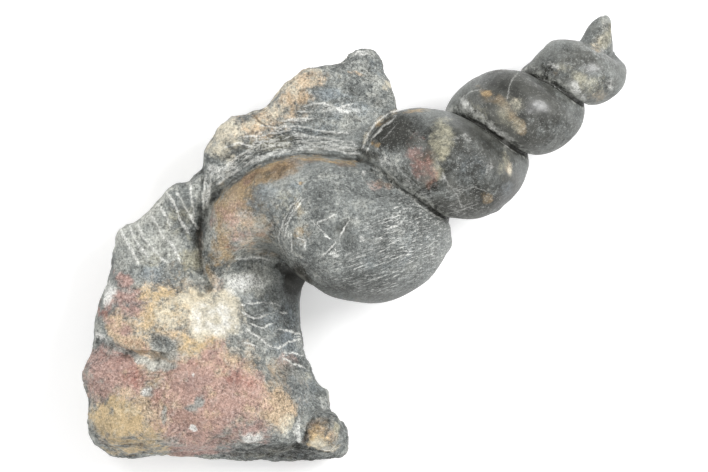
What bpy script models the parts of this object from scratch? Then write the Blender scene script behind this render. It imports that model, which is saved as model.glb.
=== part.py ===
"""Internal mold (steinkern) of a high-spired sea snail, still joined to its block of matrix.

The stone lies on its flat back. +Z is up, +X runs towards the spire and +Y towards the wing of matrix.
The origin is the middle of the stone's box, on the surface that it rests on.
One solid: the whorls, the block, the wing, the lumps and the stub at the tip grew together as one rock.

Outlines and surface points are given on a layout grid of thirds of a millimetre, counted right and down from
its upper left corner. The layout is drawn as the stone looks to an eye straight above its middle.
"""

import math

import bmesh
import bpy
import numpy as np
from mathutils import Matrix, Vector, noise

MM = 0.001

# ---- the layout grid
GRID = MM / 3
GRID_MIDDLE = (354, 236)
EYE_HEIGHT = 900 * MM
LAYOUT_HEIGHT = 25 * MM  # the level where one grid step is a true third of a millimetre
BOX_SHIFT = (0, 1.37 * MM, 0)  # from the layout's middle to the middle of the stone's box

# ---- the spiral of whorls, counted in turns from the right edge of the smallest whole whorl
GROWTH_PER_TURN = 1.303
FIRST_TURN = -0.2
LAST_TURN = 3.4
START_ROUNDING = 0.14  # turns over which the tube's start is rounded
END_ROUNDING = 0.2
STEPS_PER_TURN = 40
TURN_OFFSET = -0.015
TIP_TO_FIRST_WHORL = 73.5 * MM  # along the axis, from the lost tip of the shell
FIRST_WHORL_RADIUS = 12.7 * MM  # from the axis to the outside of the whorl
SPIRAL_SHARE = 0.51  # how far out the middle of the tube runs, as a share of the whorl's radius
TUBE_HEIGHT = 8.84 * MM  # half the height of the tube's oval, along the axis, at turn 0
TUBE_SQUARENESS = 2.27  # the oval's power: 2 is an ellipse
TUBE_SIDES = 32
CORE_SHARE = 0.62  # the solid middle, as a share of the whorl's radius

# ---- where the shell's axis lies
LOST_TIP = Vector((139.2, 98.8, 18)) * MM
AXIS_AZIMUTH = math.radians(35)
AXIS_DROP = math.radians(4)  # the spire dips towards its tip
AXIS_BOW = 1.3 * MM  # how far the axis leaves its straight line in 100 mm

# ---- the last half whorl, which bends down into the matrix:
# layout x, y, then in mm its middle's height, half its width and half its height
ELBOW = [
    (376, 254, 30, 17.5, 23), (350, 235, 30, 21.4, 28.6), (333, 223, 30, 21.3, 28.4),
    (315, 212, 30, 20.6, 26.8), (290, 205, 29, 18.5, 23.4), (264, 207, 28, 16, 19.8),
    (242, 219, 28, 12.5, 16), (226, 238, 28, 9, 12), (217, 258, 28, 6, 9), (213, 278, 28, 3.8, 6.5),
    (212, 296, 29, 2, 3),
]
ELBOW_SIDES = 28
ELBOW_SEAM = (330, 218, 24 * MM)  # where it leaves the body whorl: layout x, y and the seam's reach
SEAM_PASSES = 40

# ---- outlines on the layout grid
BLOCK_OUTLINE = [
    (119, 229), (126, 226), (135, 224), (152, 207), (171, 188), (178, 186), (206, 168), (240, 174),
    (300, 190), (345, 222), (348, 246), (322, 262), (308, 276), (300, 288), (297, 303), (298, 318),
    (302, 355), (311, 371), (318, 388), (326, 396), (329, 410), (334, 415), (344, 427), (346, 439),
    (344, 453), (320, 457), (290, 460), (240, 460), (214, 457), (130, 458), (114, 456), (104, 452),
    (93, 443), (88, 431), (89, 413), (88, 398), (84, 377), (89, 359), (94, 339), (95, 325), (98, 313),
    (105, 288), (112, 263), (111, 258), (116, 247), (116, 234),
]
WING_OUTLINE = [
    (204, 166), (204, 156), (206, 144), (221, 126), (233, 116), (253, 114), (263, 108), (290, 80),
    (302, 72), (312, 68), (339, 64), (351, 54), (360, 50), (373, 50), (378, 54), (392, 87), (395, 105),
    (394, 128), (376, 165), (330, 195), (264, 206), (222, 212), (208, 190),
]
STUB_OUTLINE = [
    (578, 44), (583, 35), (589, 24), (597, 18), (603, 14), (609, 14), (612, 18), (611, 32), (614, 48),
    (612, 58), (600, 64), (586, 58),
]

# ---- surface points: layout x, y, and height in mm above the surface that the stone rests on
BLOCK_TOP = [
    (122, 234, 34), (150, 214, 35), (175, 196, 35), (198, 180, 33), (137, 258, 33), (162, 244, 33),
    (184, 226, 31), (197, 245, 27), (198, 270, 27), (182, 268, 31), (160, 278, 35), (130, 288, 38),
    (112, 282, 35), (216, 296, 30), (240, 230, 28), (280, 220, 26), (330, 235, 20), (150, 308, 40),
    (186, 304, 39), (205, 320, 41), (224, 318, 41), (180, 332, 43), (140, 332, 42), (112, 320, 39),
    (98, 332, 35), (92, 372, 37), (112, 368, 42), (138, 376, 43), (154, 392, 45), (100, 420, 38),
    (130, 426, 44), (160, 432, 45), (200, 370, 46), (232, 352, 45), (250, 370, 45), (282, 398, 43),
    (292, 424, 41), (200, 416, 47), (250, 416, 46), (200, 448, 42), (260, 444, 42), (242, 292, 31),
    (268, 284, 25), (290, 290, 18), (246, 322, 35), (270, 322, 27), (292, 322, 18), (262, 350, 35),
    (280, 350, 27), (298, 355, 18), (302, 388, 26), (318, 394, 17), (318, 424, 24), (338, 430, 17),
    (312, 446, 28), (344, 448, 16),
]
WING_TOP = [
    (212, 158, 38), (240, 140, 39), (262, 118, 37), (292, 90, 36), (336, 74, 35), (366, 60, 32),
    (384, 84, 33), (390, 110, 34), (384, 130, 35), (340, 110, 36), (300, 116, 36), (290, 140, 35),
    (330, 140, 36), (360, 148, 36), (250, 164, 35), (224, 184, 34), (300, 160, 33), (300, 190, 28),
]
STUB_TOP = [(582, 44, 26), (600, 24, 27), (608, 20, 27), (606, 50, 28)]
BLOCK_BACK = [
    (120, 236, 13), (180, 194, 14), (204, 172, 15), (160, 250, 3), (100, 300, 9), (140, 300, -2),
    (200, 300, -3), (260, 300, -3), (294, 320, 1), (94, 376, 7), (120, 380, -2), (200, 380, -3),
    (280, 380, -3), (300, 360, 1), (320, 392, 1), (98, 436, 6), (130, 440, -2), (200, 440, -3),
    (300, 440, -2), (340, 440, 3), (130, 456, 5), (260, 458, 4), (240, 240, -3), (320, 230, -3),
    (230, 190, 5),
]
WING_BACK = [(216, 156, 16), (296, 140, 11), (372, 130, 14), (294, 90, 17), (366, 62, 20), (290, 190, 4)]
STUB_BACK = [(582, 44, 16), (606, 20, 18), (606, 56, 14)]
HEIGHT_REACH = 5.5 * MM  # how far each surface point is felt
SLAB_DEPTH = 40 * MM  # thickness of a slab before its two faces are shaped

# Each slab of matrix: how far in from its outline its faces start to fall, and how far they fall.
BLOCK_EDGE = (6.5 * MM, 5.0 * MM)
WING_EDGE = (4.0 * MM, 3.5 * MM)
STUB_EDGE = (3.0 * MM, 2.5 * MM)
FOOT_LEAN = 7 * MM  # how far the lower end of the block leans in towards its top
FOOT_LEAN_FROM = -57 * MM
FOOT_LEAN_REACH = 17 * MM

# ---- lumps that stand out of the block: layout x, y, height, then radii in mm
LUMPS = [(324, 433, 21, 8.5, 7.0, 13.5), (321, 402, 14, 3.4, 5.0, 8.0)]

# ---- a fracture step across the block: the line that it follows, how far it drops and over what width
LEDGE = [(88, 332), (108, 343), (128, 351), (152, 354)]
LEDGE_DROP = 2.4 * MM
LEDGE_WIDTH = 2.4 * MM
LEDGE_REACH = 8 * MM

# ---- bumps, and dents with a height below nothing: layout x, y, then level, radius and height in mm
BUMPS = [
    (451, 242, 29, 4.0, 1.6), (528, 166, 27, 3.5, 1.2), (582, 116, 25, 3.0, 1.0), (625, 71, 23, 2.5, 0.8),
    (530, 50, 23, 8.0, -2.2), (162, 358, 43, 4.5, -1.6), (250, 437, 42, 2.6, 1.6),
    (100, 438, 36, 2.4, -1.4),
]

# ---- grooves and holes: layout x, y along each, then depth and half width in mm
TUBE_GROOVE = [(216, 192), (206, 208), (202, 236), (202, 262), (205, 288)]
WING_GROOVE = [(218, 194), (234, 180), (260, 163), (290, 156), (322, 154), (362, 157)]
GROOVES = [(TUBE_GROOVE, 3.6, 2.2), (WING_GROOVE, 2.0, 1.8), ([(296, 270), (306, 278)], 5.0, 3.0)]
GROOVE_HOLDS_ABOVE = 8 * MM  # grooves are cut in the upper face only

# ---- how fine the solid is
SLAB_VOXEL = 1.6 * MM
VOXEL = 1.1 * MM
SMOOTH_PASSES = 3
ROUGHNESS_SIZE = 10 * MM
ROUGHNESS_HEIGHT = 1.2 * MM
WHORL_ROUGHNESS = 0.12  # the whorls' unevenness, as a share of the matrix's
TRIANGLES = 9600

STONE_COLOUR = (0.24, 0.24, 0.23, 1.0)


def place(x, y, height):
    """The point that the layout shows at x, y, when it lies at this height."""
    scale = GRID * (EYE_HEIGHT - height) / (EYE_HEIGHT - LAYOUT_HEIGHT)
    return Vector(((x - GRID_MIDDLE[0]) * scale, (GRID_MIDDLE[1] - y) * scale, height))


def layout_lines(points):
    """Where the layout shows each point of a mesh, in metres from its middle."""
    scale = (EYE_HEIGHT - LAYOUT_HEIGHT) / (EYE_HEIGHT - points[:, 2])
    return points[:, :2] * scale[:, None]


def grid_points(pairs):
    return np.array([((x - GRID_MIDDLE[0]) * GRID, (GRID_MIDDLE[1] - y) * GRID) for x, y in pairs])


def soft_step(share):
    share = np.clip(share, 0, 1)
    return share * share * (3 - 2 * share)


def growth(turn):
    return GROWTH_PER_TURN**turn


def rounded_end(share):
    """How wide a round-ended tube is, from its very end, where share is 0, to its full width."""
    return math.sqrt(1 - 0.96 * (1 - min(share, 1.0)) ** 2)


def axis_directions():
    """The shell's own axes: towards its tip, towards the lower right of the stone, and into the back."""
    along = Vector((
        math.cos(AXIS_AZIMUTH) * math.cos(AXIS_DROP),
        math.sin(AXIS_AZIMUTH) * math.cos(AXIS_DROP),
        -math.sin(AXIS_DROP),
    ))
    right = Vector((math.sin(AXIS_AZIMUTH), -math.cos(AXIS_AZIMUTH), 0))
    return right, along.cross(right), along


def from_shell(points):
    """Points in the shell's own axes, with the lost tip at the origin, brought into the stone."""
    bowed = np.array(points, float)
    bowed[:, 0] -= AXIS_BOW * ((bowed[:, 2] + TIP_TO_FIRST_WHORL) / (100 * MM)) ** 2
    return bowed @ np.array(axis_directions()) + np.array(LOST_TIP)


def to_shell(points):
    return (points - np.array(LOST_TIP)) @ np.array(axis_directions()).T


def new_object(name, points, faces):
    mesh = bpy.data.meshes.new(name)
    mesh.from_pydata([tuple(p) for p in points], [], faces)
    made = bpy.data.objects.new(name, mesh)
    bpy.context.scene.collection.objects.link(made)
    tidy(made)
    return made


def tidy(thing):
    """Welds the seams and turns every face outwards."""
    shape = bmesh.new()
    shape.from_mesh(thing.data)
    bmesh.ops.remove_doubles(shape, verts=shape.verts, dist=1e-6)
    bmesh.ops.recalc_face_normals(shape, faces=shape.faces)
    shape.to_mesh(thing.data)
    shape.free()


def loft(name, rings):
    """A closed mesh through rings that all have the same number of points."""
    count = len(rings[0])
    faces = []
    for i in range(len(rings) - 1):
        for j in range(count):
            a = i * count + j
            b = i * count + (j + 1) % count
            faces.append((a, b, b + count, a + count))
    faces.append(tuple(range(count)))
    faces.append(tuple(range((len(rings) - 1) * count, len(rings) * count)))
    return new_object(name, np.concatenate(rings), faces)


def whorl_tube():
    """The tube that filled the shell: an oval swept along the growing spiral, ring by ring."""
    around = np.linspace(0, 2 * math.pi, TUBE_SIDES, endpoint=False)
    power = 2 / TUBE_SQUARENESS
    half = (1 - SPIRAL_SHARE) * FIRST_WHORL_RADIUS
    across = half * np.sign(np.cos(around)) * np.abs(np.cos(around)) ** power
    tall = TUBE_HEIGHT * np.sign(np.sin(around)) * np.abs(np.sin(around)) ** power
    rings = []
    for step in range(round((LAST_TURN - FIRST_TURN) * STEPS_PER_TURN) + 1):
        turn = FIRST_TURN + step / STEPS_PER_TURN
        size = growth(turn)
        angle = 2 * math.pi * (turn + TURN_OFFSET)
        outward = np.array((math.cos(angle), -math.sin(angle), 0))
        middle = outward * (SPIRAL_SHARE * FIRST_WHORL_RADIUS * size)
        middle[2] = -TIP_TO_FIRST_WHORL * size
        size *= rounded_end((turn - FIRST_TURN) / START_ROUNDING)
        size *= rounded_end((LAST_TURN - turn) / END_ROUNDING)
        oval = size * (across[:, None] * outward + tall[:, None] * np.array((0, 0, 1)))
        rings.append(from_shell(middle + oval))
    return loft("whorl tube", rings)


def whorl_core():
    """The solid middle of the spire, which shows at the bottom of the grooves between whorls."""
    around = np.linspace(0, 2 * math.pi, TUBE_SIDES, endpoint=False)
    rings = []
    for turn in np.linspace(FIRST_TURN + 0.3, LAST_TURN - 0.3, 24):
        size = growth(turn)
        out = CORE_SHARE * FIRST_WHORL_RADIUS * size
        depth = np.full(TUBE_SIDES, -TIP_TO_FIRST_WHORL * size)
        rings.append(from_shell(np.c_[out * np.cos(around), out * np.sin(around), depth]))
    return loft("whorl core", rings)


def elbow():
    """The last half whorl: a horn that bends from the body whorl down into the matrix."""
    around = np.linspace(0, 2 * math.pi, ELBOW_SIDES, endpoint=False)
    middles = [place(x, y, z * MM) for x, y, z, _, _ in ELBOW]
    rings = []
    for i, (_, _, _, half_width, half_height) in enumerate(ELBOW):
        ahead = middles[min(i + 1, len(middles) - 1)] - middles[max(i - 1, 0)]
        side = Vector((ahead.y, -ahead.x, 0)).normalized()
        flat = np.cos(around)[:, None] * np.array(side) * half_width * MM
        tall = np.sin(around)[:, None] * np.array((0, 0, 1)) * half_height * MM
        rings.append(np.array(middles[i]) + flat + tall)
    return loft("elbow", rings)


def evaluated(thing):
    graph = bpy.context.evaluated_depsgraph_get()
    return bpy.data.meshes.new_from_object(thing.evaluated_get(graph))


def remesh(thing, size):
    skin = thing.modifiers.new("even mesh", "REMESH")
    skin.mode = "VOXEL"
    skin.voxel_size = size
    mesh = evaluated(thing)
    thing.modifiers.clear()
    thing.data = mesh


def points_of(thing):
    points = np.empty(len(thing.data.vertices) * 3, np.float32)
    thing.data.vertices.foreach_get("co", points)
    return points.reshape(-1, 3).astype(float)


def set_points(thing, points):
    thing.data.vertices.foreach_set("co", points.astype(np.float32).ravel())
    thing.data.update()


def surface_height(seen, known):
    """The height of a face at each place, as a soft mean of the surface points near it."""
    places = grid_points([(x, y) for x, y, _ in known])
    apart = ((seen[:, None, :] - places[None, :, :]) ** 2).sum(axis=2)
    nearest = apart.min(axis=1, keepdims=True)
    weight = np.exp((nearest - apart) / (2 * HEIGHT_REACH**2))
    heights = np.array([height for _, _, height in known]) * MM
    return (weight * heights).sum(axis=1) / weight.sum(axis=1)


def line_distance(seen, corners):
    """How far each place lies from a line through corners, and on which side: left of it is positive."""
    nearest = np.full(len(seen), np.inf)
    side = np.ones(len(seen))
    for start, end in zip(corners[:-1], corners[1:]):
        run = end - start
        share = np.clip(((seen - start) @ run) / (run @ run), 0, 1)
        away = seen - start - share[:, None] * run
        gap = np.hypot(away[:, 0], away[:, 1])
        turned = run[0] * (seen[:, 1] - start[1]) - run[1] * (seen[:, 0] - start[0])
        closer = gap < nearest
        nearest[closer] = gap[closer]
        side[closer] = np.sign(turned[closer])
    return nearest, side


def slab(name, outline, top, back, edge):
    """A piece of matrix: its outline from above, raised between two uneven faces with worn edges."""
    curve = bpy.data.curves.new(name, "CURVE")
    curve.dimensions = "2D"
    curve.fill_mode = "BOTH"
    curve.extrude = SLAB_DEPTH / 2
    line = curve.splines.new("POLY")
    line.points.add(len(outline) - 1)
    corners = grid_points(outline)
    for point, (x, y) in zip(line.points, corners):
        point.co = (x, y, 0, 1)
    line.use_cyclic_u = True
    drawn = bpy.data.objects.new(name + " outline", curve)
    bpy.context.scene.collection.objects.link(drawn)
    made = bpy.data.objects.new(name, evaluated(drawn))
    bpy.data.objects.remove(drawn)
    bpy.context.scene.collection.objects.link(made)
    tidy(made)
    remesh(made, SLAB_VOXEL)
    points = points_of(made)
    seen = points[:, :2]
    rounding, fall = edge
    gap, _ = line_distance(seen, np.vstack([corners, corners[:1]]))
    worn = fall * np.clip(1 - gap / rounding, 0, 1) ** 2
    upper = surface_height(seen, top) - worn
    lower = surface_height(seen, back) + worn
    share = np.clip(points[:, 2] / SLAB_DEPTH + 0.5, 0, 1)
    points[:, 2] = lower + share * (upper - lower)
    scale = (EYE_HEIGHT - points[:, 2]) / (EYE_HEIGHT - LAYOUT_HEIGHT)
    points[:, :2] *= scale[:, None]
    lean = np.clip((FOOT_LEAN_FROM - points[:, 1]) / FOOT_LEAN_REACH, 0, 1)
    points[:, 1] += FOOT_LEAN * lean * np.clip(points[:, 2] / (40 * MM) - 0.3, 0, 1)
    set_points(made, points)
    return made


def lump(x, y, height, *radii):
    bpy.ops.mesh.primitive_ico_sphere_add(subdivisions=3, radius=MM)
    made = bpy.context.object
    made.data.transform(Matrix.Diagonal((*radii, 1)))
    made.data.transform(Matrix.Translation(place(x, y, height * MM)))
    return made


def joined(name, pieces):
    bpy.ops.object.select_all(action="DESELECT")
    for piece in pieces:
        piece.select_set(True)
    bpy.context.view_layer.objects.active = pieces[0]
    bpy.ops.object.join()
    whole = bpy.context.object
    whole.name = name
    whole.data.name = name
    return whole


def smooth(thing, passes, share):
    """Evens out the mesh; share is how much of each pass every point takes."""
    points = points_of(thing)
    ends = np.empty(len(thing.data.edges) * 2, np.int64)
    thing.data.edges.foreach_get("vertices", ends)
    a, b = ends.reshape(-1, 2).T
    count = np.bincount(a, minlength=len(points)) + np.bincount(b, minlength=len(points))
    for _ in range(passes):
        total = np.zeros_like(points)
        np.add.at(total, a, points[b])
        np.add.at(total, b, points[a])
        points += 0.5 * share[:, None] * (total / count[:, None] - points)
    set_points(thing, points)


def near_seam(points):
    """1 where the elbow grows out of the body whorl, 0 away from it and in the hollow under it."""
    x, y, reach = ELBOW_SEAM
    gap = np.hypot(*(layout_lines(points) - grid_points([(x, y)])[0]).T)
    return soft_step(2 * (1 - gap / reach)) * soft_step((points[:, 2] - 36 * MM) / (6 * MM))


def matrix_share(points):
    """0 on the whorls and 1 on the matrix, from how far outside the spiral each point lies."""
    local = to_shell(points)
    radius = FIRST_WHORL_RADIUS * -local[:, 2] / TIP_TO_FIRST_WHORL
    outside = np.hypot(local[:, 0], local[:, 1]) / radius
    share = np.clip((outside - 0.98) / 0.2, 0, 1)
    return np.maximum(share, np.clip((-local[:, 2] - 196 * MM) / (12 * MM), 0, 1))


def carve(thing):
    """The fracture step, the grooves along the tube and the unevenness of broken rock."""
    points = points_of(thing)
    normals = np.array([vertex.normal for vertex in thing.data.vertices])
    seen = layout_lines(points)
    gap, side = line_distance(seen, grid_points(LEDGE))
    near = soft_step(1 - (gap - LEDGE_WIDTH) / LEDGE_REACH)
    upward = np.clip(normals[:, 2], 0, 1)
    points[:, 2] -= LEDGE_DROP * soft_step(0.5 - side * gap / LEDGE_WIDTH) * near * upward
    for corners, depth, half_width in GROOVES:
        gap, _ = line_distance(seen, grid_points(corners))
        cut = depth * MM * np.exp(-((gap / (half_width * MM)) ** 2))
        points[:, 2] -= cut * soft_step(points[:, 2] / GROOVE_HOLDS_ABOVE - 1) * upward
    for x, y, level, radius, bump in BUMPS:
        away = np.linalg.norm(points - np.array(place(x, y, level * MM)), axis=1)
        points += normals * (bump * MM * np.exp(-((away / (radius * MM)) ** 2)))[:, None]
    height = ROUGHNESS_HEIGHT * (WHORL_ROUGHNESS + (1 - WHORL_ROUGHNESS) * matrix_share(points))
    rough = np.array([noise.fractal(Vector(p) / ROUGHNESS_SIZE, 0.9, 2.1, 3) for p in points])
    set_points(thing, points + normals * (height * rough)[:, None] + np.array(BOX_SHIFT))


def flat_rest(thing):
    """The flat of the back: everything under the surface that the stone rests on is cut away."""
    bpy.ops.mesh.primitive_cube_add(size=1)
    cutter = bpy.context.object
    cutter.data.transform(Matrix.Diagonal((0.4, 0.4, 0.05, 1)))
    cutter.data.transform(Matrix.Translation((0, 0, -0.025)))
    cutter.name = "resting plane"
    cutter.hide_render = True
    cutter.display_type = "WIRE"
    cut = thing.modifiers.new("flat back", "BOOLEAN")
    cut.operation = "DIFFERENCE"
    cut.object = cutter
    return cutter


def file_under(thing, name):
    """Moves an object into a collection of its own name."""
    home = bpy.data.collections.get(name) or bpy.data.collections.new(name)
    if home.name not in bpy.context.scene.collection.children:
        bpy.context.scene.collection.children.link(home)
    for old in list(thing.users_collection):
        old.objects.unlink(thing)
    home.objects.link(thing)


def stone_material():
    stone = bpy.data.materials.new("stone")
    stone.use_nodes = True
    shader = stone.node_tree.nodes["Principled BSDF"]
    shader.inputs["Base Color"].default_value = STONE_COLOUR
    shader.inputs["Roughness"].default_value = 0.6
    shader.inputs["Metallic"].default_value = 0.0
    return stone


def main():
    for thing in list(bpy.data.objects):
        bpy.data.objects.remove(thing)
    pieces = [
        whorl_tube(),
        whorl_core(),
        elbow(),
        slab("block", BLOCK_OUTLINE, BLOCK_TOP, BLOCK_BACK, BLOCK_EDGE),
        slab("wing", WING_OUTLINE, WING_TOP, WING_BACK, WING_EDGE),
        slab("stub", STUB_OUTLINE, STUB_TOP, STUB_BACK, STUB_EDGE),
    ]
    pieces += [lump(*measures) for measures in LUMPS]
    fossil = joined("fossil_mold", pieces)
    remesh(fossil, VOXEL)
    smooth(fossil, SMOOTH_PASSES, np.ones(len(fossil.data.vertices)))
    smooth(fossil, SEAM_PASSES, near_seam(points_of(fossil)))
    carve(fossil)
    fossil.data.materials.clear()
    fossil.data.materials.append(stone_material())
    thin = fossil.modifiers.new("fewer faces", "DECIMATE")
    thin.ratio = TRIANGLES / (2 * len(fossil.data.polygons))
    thin.use_collapse_triangulate = True
    cutter = flat_rest(fossil)
    file_under(fossil, "fossil mold")
    file_under(cutter, "cutters")


main()
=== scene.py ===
"""The finished look of a fossil snail mold in its block of matrix, sculpted over the packed solid."""

import math

import bpy
import numpy as np
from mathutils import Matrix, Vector, noise


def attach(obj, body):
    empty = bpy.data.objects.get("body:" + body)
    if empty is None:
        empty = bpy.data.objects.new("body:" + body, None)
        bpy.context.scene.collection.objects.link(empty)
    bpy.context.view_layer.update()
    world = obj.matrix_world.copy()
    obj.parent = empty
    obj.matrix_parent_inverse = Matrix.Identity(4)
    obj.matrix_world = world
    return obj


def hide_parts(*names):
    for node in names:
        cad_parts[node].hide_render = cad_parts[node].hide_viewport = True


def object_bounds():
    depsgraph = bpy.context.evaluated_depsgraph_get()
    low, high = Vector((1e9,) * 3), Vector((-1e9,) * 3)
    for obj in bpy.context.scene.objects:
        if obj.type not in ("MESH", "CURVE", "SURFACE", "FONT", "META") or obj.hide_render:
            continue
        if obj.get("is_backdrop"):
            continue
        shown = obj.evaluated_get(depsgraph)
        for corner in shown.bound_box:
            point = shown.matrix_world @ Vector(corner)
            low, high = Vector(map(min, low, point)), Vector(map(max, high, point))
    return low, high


bl_info = {
    "name": "Fossil snail mold",
    "version": (1, 0, 0),
    "blender": (4, 5, 0),
    "location": "View3D > Sidebar > Fossil",
    "description": "Sculpts and stains the stone mold of a high-spired snail, and lays out its table",
    "category": "Add Mesh",
}

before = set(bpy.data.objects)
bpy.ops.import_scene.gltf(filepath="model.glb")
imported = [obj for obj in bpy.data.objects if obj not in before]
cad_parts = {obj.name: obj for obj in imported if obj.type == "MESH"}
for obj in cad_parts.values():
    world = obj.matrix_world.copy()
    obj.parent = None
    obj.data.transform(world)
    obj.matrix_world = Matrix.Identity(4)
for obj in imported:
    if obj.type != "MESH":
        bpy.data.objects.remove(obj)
SOLID_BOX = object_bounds()

MM = 0.001

# ---- the layout grid: thirds of a millimetre, right and down, as seen from straight above the stone
GRID = MM / 3
GRID_MIDDLE = (354, 236)
EYE_HEIGHT = 900 * MM
LAYOUT_HEIGHT = 25 * MM
BOX_SHIFT = np.array((0, 1.37 * MM, 0))

# ---- the spiral that the whorls follow, in turns, as the solid has it
GROWTH_PER_TURN = 1.303
FIRST_TURN = -0.2
LAST_TURN = 3.4
TURN_OFFSET = -0.015
TIP_TO_FIRST_WHORL = 73.5 * MM
FIRST_WHORL_RADIUS = 12.7 * MM
SPIRAL_SHARE = 0.51
TUBE_HEIGHT = 8.84 * MM
FLANK_FILL = 0.115
TUBE_SQUARENESS = 2.27
LOST_TIP = np.array(Vector((139.2, 98.8, 18)) * MM)
AXIS_AZIMUTH = math.radians(35)
AXIS_DROP = math.radians(4)
AXIS_BOW = 1.3 * MM
CREASE_REACH = 4 * MM
MATRIX_START = 196 * MM
MATRIX_BLEND = 12 * MM

# ---- the rock: seeds of its noises, then the sizes of its features, with the clouds' in mm
SWELLS, GRAIN, BEND, WEAR, COARSE, FINE, BEHIND, CLOUDS, CHIPS = 1, 2, 3, 5, 6, 8, 20, 30, 7
SWELL_SIZE, LARGE_CHIP, SMALL_CHIP, KNOB_CHIP, GRAIN_SIZE = (size * MM for size in (9, 8, 2.6, 7, 1.3))
KNOB_RELIEF = 1.2 * MM
CUT_SHARE = 0.82
CLOUD_SIZES = (3, 9, 4, 7, 12)
GRIT_SCALE, SPECK_SCALE, CLOUD_SCALE = 1150, 560, 160

# ---- the lamps: place, then width; and the width of the camera's sensor in mm
KEY_LAMP = ((0.64, 0.29, 0.88), 0.42)
SIDE_LAMP = ((-0.6, 0.6, 0.8), 0.5)
SENSOR = 36

# ---- bumps and dents on the whorls: layout x, y, then level, radius and height in mm
BUMPS = [
    (452, 243, 27, 3, 0.9), (528, 166, 27, 3.5, 0.6), (582, 116, 25, 3, 0.3), (625, 71, 23, 2.5, -0.2),
    (540, 52, 23, 6, 1.3), (545, 70, 34, 5, -0.7), (520, 120, 38, 4, -0.5), (347, 424, 20, 4, -1.6),
    (326, 391, 18, 4, -1.2), (302, 325, 12, 8, 0.8), (301, 300, 12, 5, 0.6), (96, 302, 20, 6, -0.9),
    (452, 221, 23, 5.5, -4.6), (443, 264, 27, 5, -1), (314, 284, 28, 3.5, -1.2), (335, 297, 34, 5, -0.9),
    (310, 68, 30, 3, -0.5), (278, 92, 24, 5, -0.9), (204, 158, 20, 5, -0.8), (178, 190, 20, 6, -0.6),
    (621, 59, 20, 3, -0.9), (334, 407, 15, 4, -0.9), (352, 50, 28, 3, -0.6), (598, 22, 20, 3, 0.4),
    (470, 218, 22, 9, 0.4), (349, 58, 27, 3.5, -0.7), (338, 447, 12, 6, 0.9), (311, 447, 14, 5, 0.8),
    (316, 417, 27, 3.5, 2.2), (331, 415, 24, 3.5, 1.2), (203, 282, 28, 2.4, 1.5), (344, 453, 10, 4, 1.6),
    (304, 366, 12, 2.5, 0.6), (327, 396, 12, 3, 0.7), (317, 384, 12, 2.5, -0.4), (498, 211, 27, 2, 0.5),
    (423, 109, 28, 2.5, 0.4),
]

# ---- flat cuts on the corner lump: layout x, y, level in mm, the way the cut faces, then its reach
CUTS = [
    (323, 432, 30.8, (-0.12, 0.1, 1), 19), (340, 432, 28, (0.8, 0.15, 0.6), 20),
    (326, 449, 29.5, (0.05, -1, 0.35), 20),
]

# ---- lines on the layout grid, each through its corners
CREST = [(214, 200), (222, 190), (239, 177), (259, 164), (275, 158), (297, 154), (315, 154), (336, 156), (361, 160)]
CREST_END = [(356, 159), (366, 162), (376, 168), (386, 176), (398, 187)]
CREVICE = [(202, 172), (201, 194), (200, 219), (198, 239), (201, 254), (203, 272)]
RIBS = [
    [(120, 229), (130, 250), (137, 262)],
    [(139, 225), (144, 238), (152, 249), (161, 259), (166, 261)],
    [(151, 215), (158, 228), (164, 238), (174, 245), (177, 255), (180, 261)],
    [(159, 205), (166, 217), (170, 226)],
    [(168, 194), (174, 206), (180, 220), (188, 232)],
    [(177, 194), (184, 205), (191, 218), (197, 228)],
    [(190, 186), (192, 201), (194, 214)],
    [(207, 170), (204, 188), (203, 208)],
    [(211, 177), (209, 192), (207, 206)],
    [(130, 228), (137, 244), (146, 256)],
]
GROWTH_LINES = [
    [(218, 184), (239, 168), (269, 156), (293, 150), (318, 149)],
    [(248, 152), (272, 145), (307, 147), (342, 149)],
    [(255, 141), (274, 142), (300, 142)],
    [(244, 136), (265, 135), (286, 131), (307, 136), (330, 139)],
    [(285, 121), (300, 118), (316, 118)],
    [(306, 105), (322, 104), (340, 108), (352, 104)],
    [(222, 172), (236, 158), (252, 149)],
    [(262, 126), (280, 128), (298, 126), (320, 131), (346, 133)],
    [(300, 111), (318, 112), (336, 109), (350, 113)],
    [(226, 147), (240, 143), (254, 146)],
    [(363, 147), (368, 133), (377, 122), (391, 112), (408, 108)],
    [(368, 150), (373, 136), (383, 126), (396, 117)],
]
GROWTH_LINES += [[(x - 0.35 * away, y - away) for x, y in CREST[1:]] for away in (6, 11.5, 17)]
CHATTER = [
    [(242, 305), (256, 303), (270, 303), (280, 305)],
    [(244, 313), (252, 317), (260, 318), (270, 314), (278, 312), (286, 313)],
    [(248, 330), (260, 338), (268, 346), (278, 348), (288, 342), (299, 339)],
    [(280, 330), (290, 331), (299, 334)],
    [(246, 342), (256, 347), (268, 350)],
    [(284, 358), (293, 364), (303, 367)],
    [(286, 352), (296, 353), (303, 356)],
    [(236, 259), (252, 257), (268, 259)],
    [(252, 324), (262, 327), (272, 324)],
]
SCRATCHES = [
    [(311, 221), (319, 229), (328, 237)],
    [(316, 223), (326, 219), (335, 215)],
    [(300, 196), (290, 208), (283, 221), (279, 234), (281, 248)],
    [(305, 199), (295, 210), (288, 222), (285, 236)],
    [(291, 235), (292, 251)],
    [(321, 257), (334, 243), (349, 222)],
    [(329, 255), (338, 250)],
    [(300, 238), (306, 240), (305, 248)],
    [(396, 124), (390, 132), (384, 138)],
    [(377, 148), (386, 156), (396, 166), (408, 178), (420, 188)],
    [(444, 176), (449, 187), (456, 195), (461, 206)],
    [(449, 190), (459, 191), (472, 187), (486, 191)],
    [(518, 72), (513, 80), (509, 91), (507, 98)],
    [(479, 90), (468, 93), (461, 99), (459, 107)],
    [(466, 116), (474, 122), (489, 128)],
    [(455, 214), (468, 207), (480, 210)],
]
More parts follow.
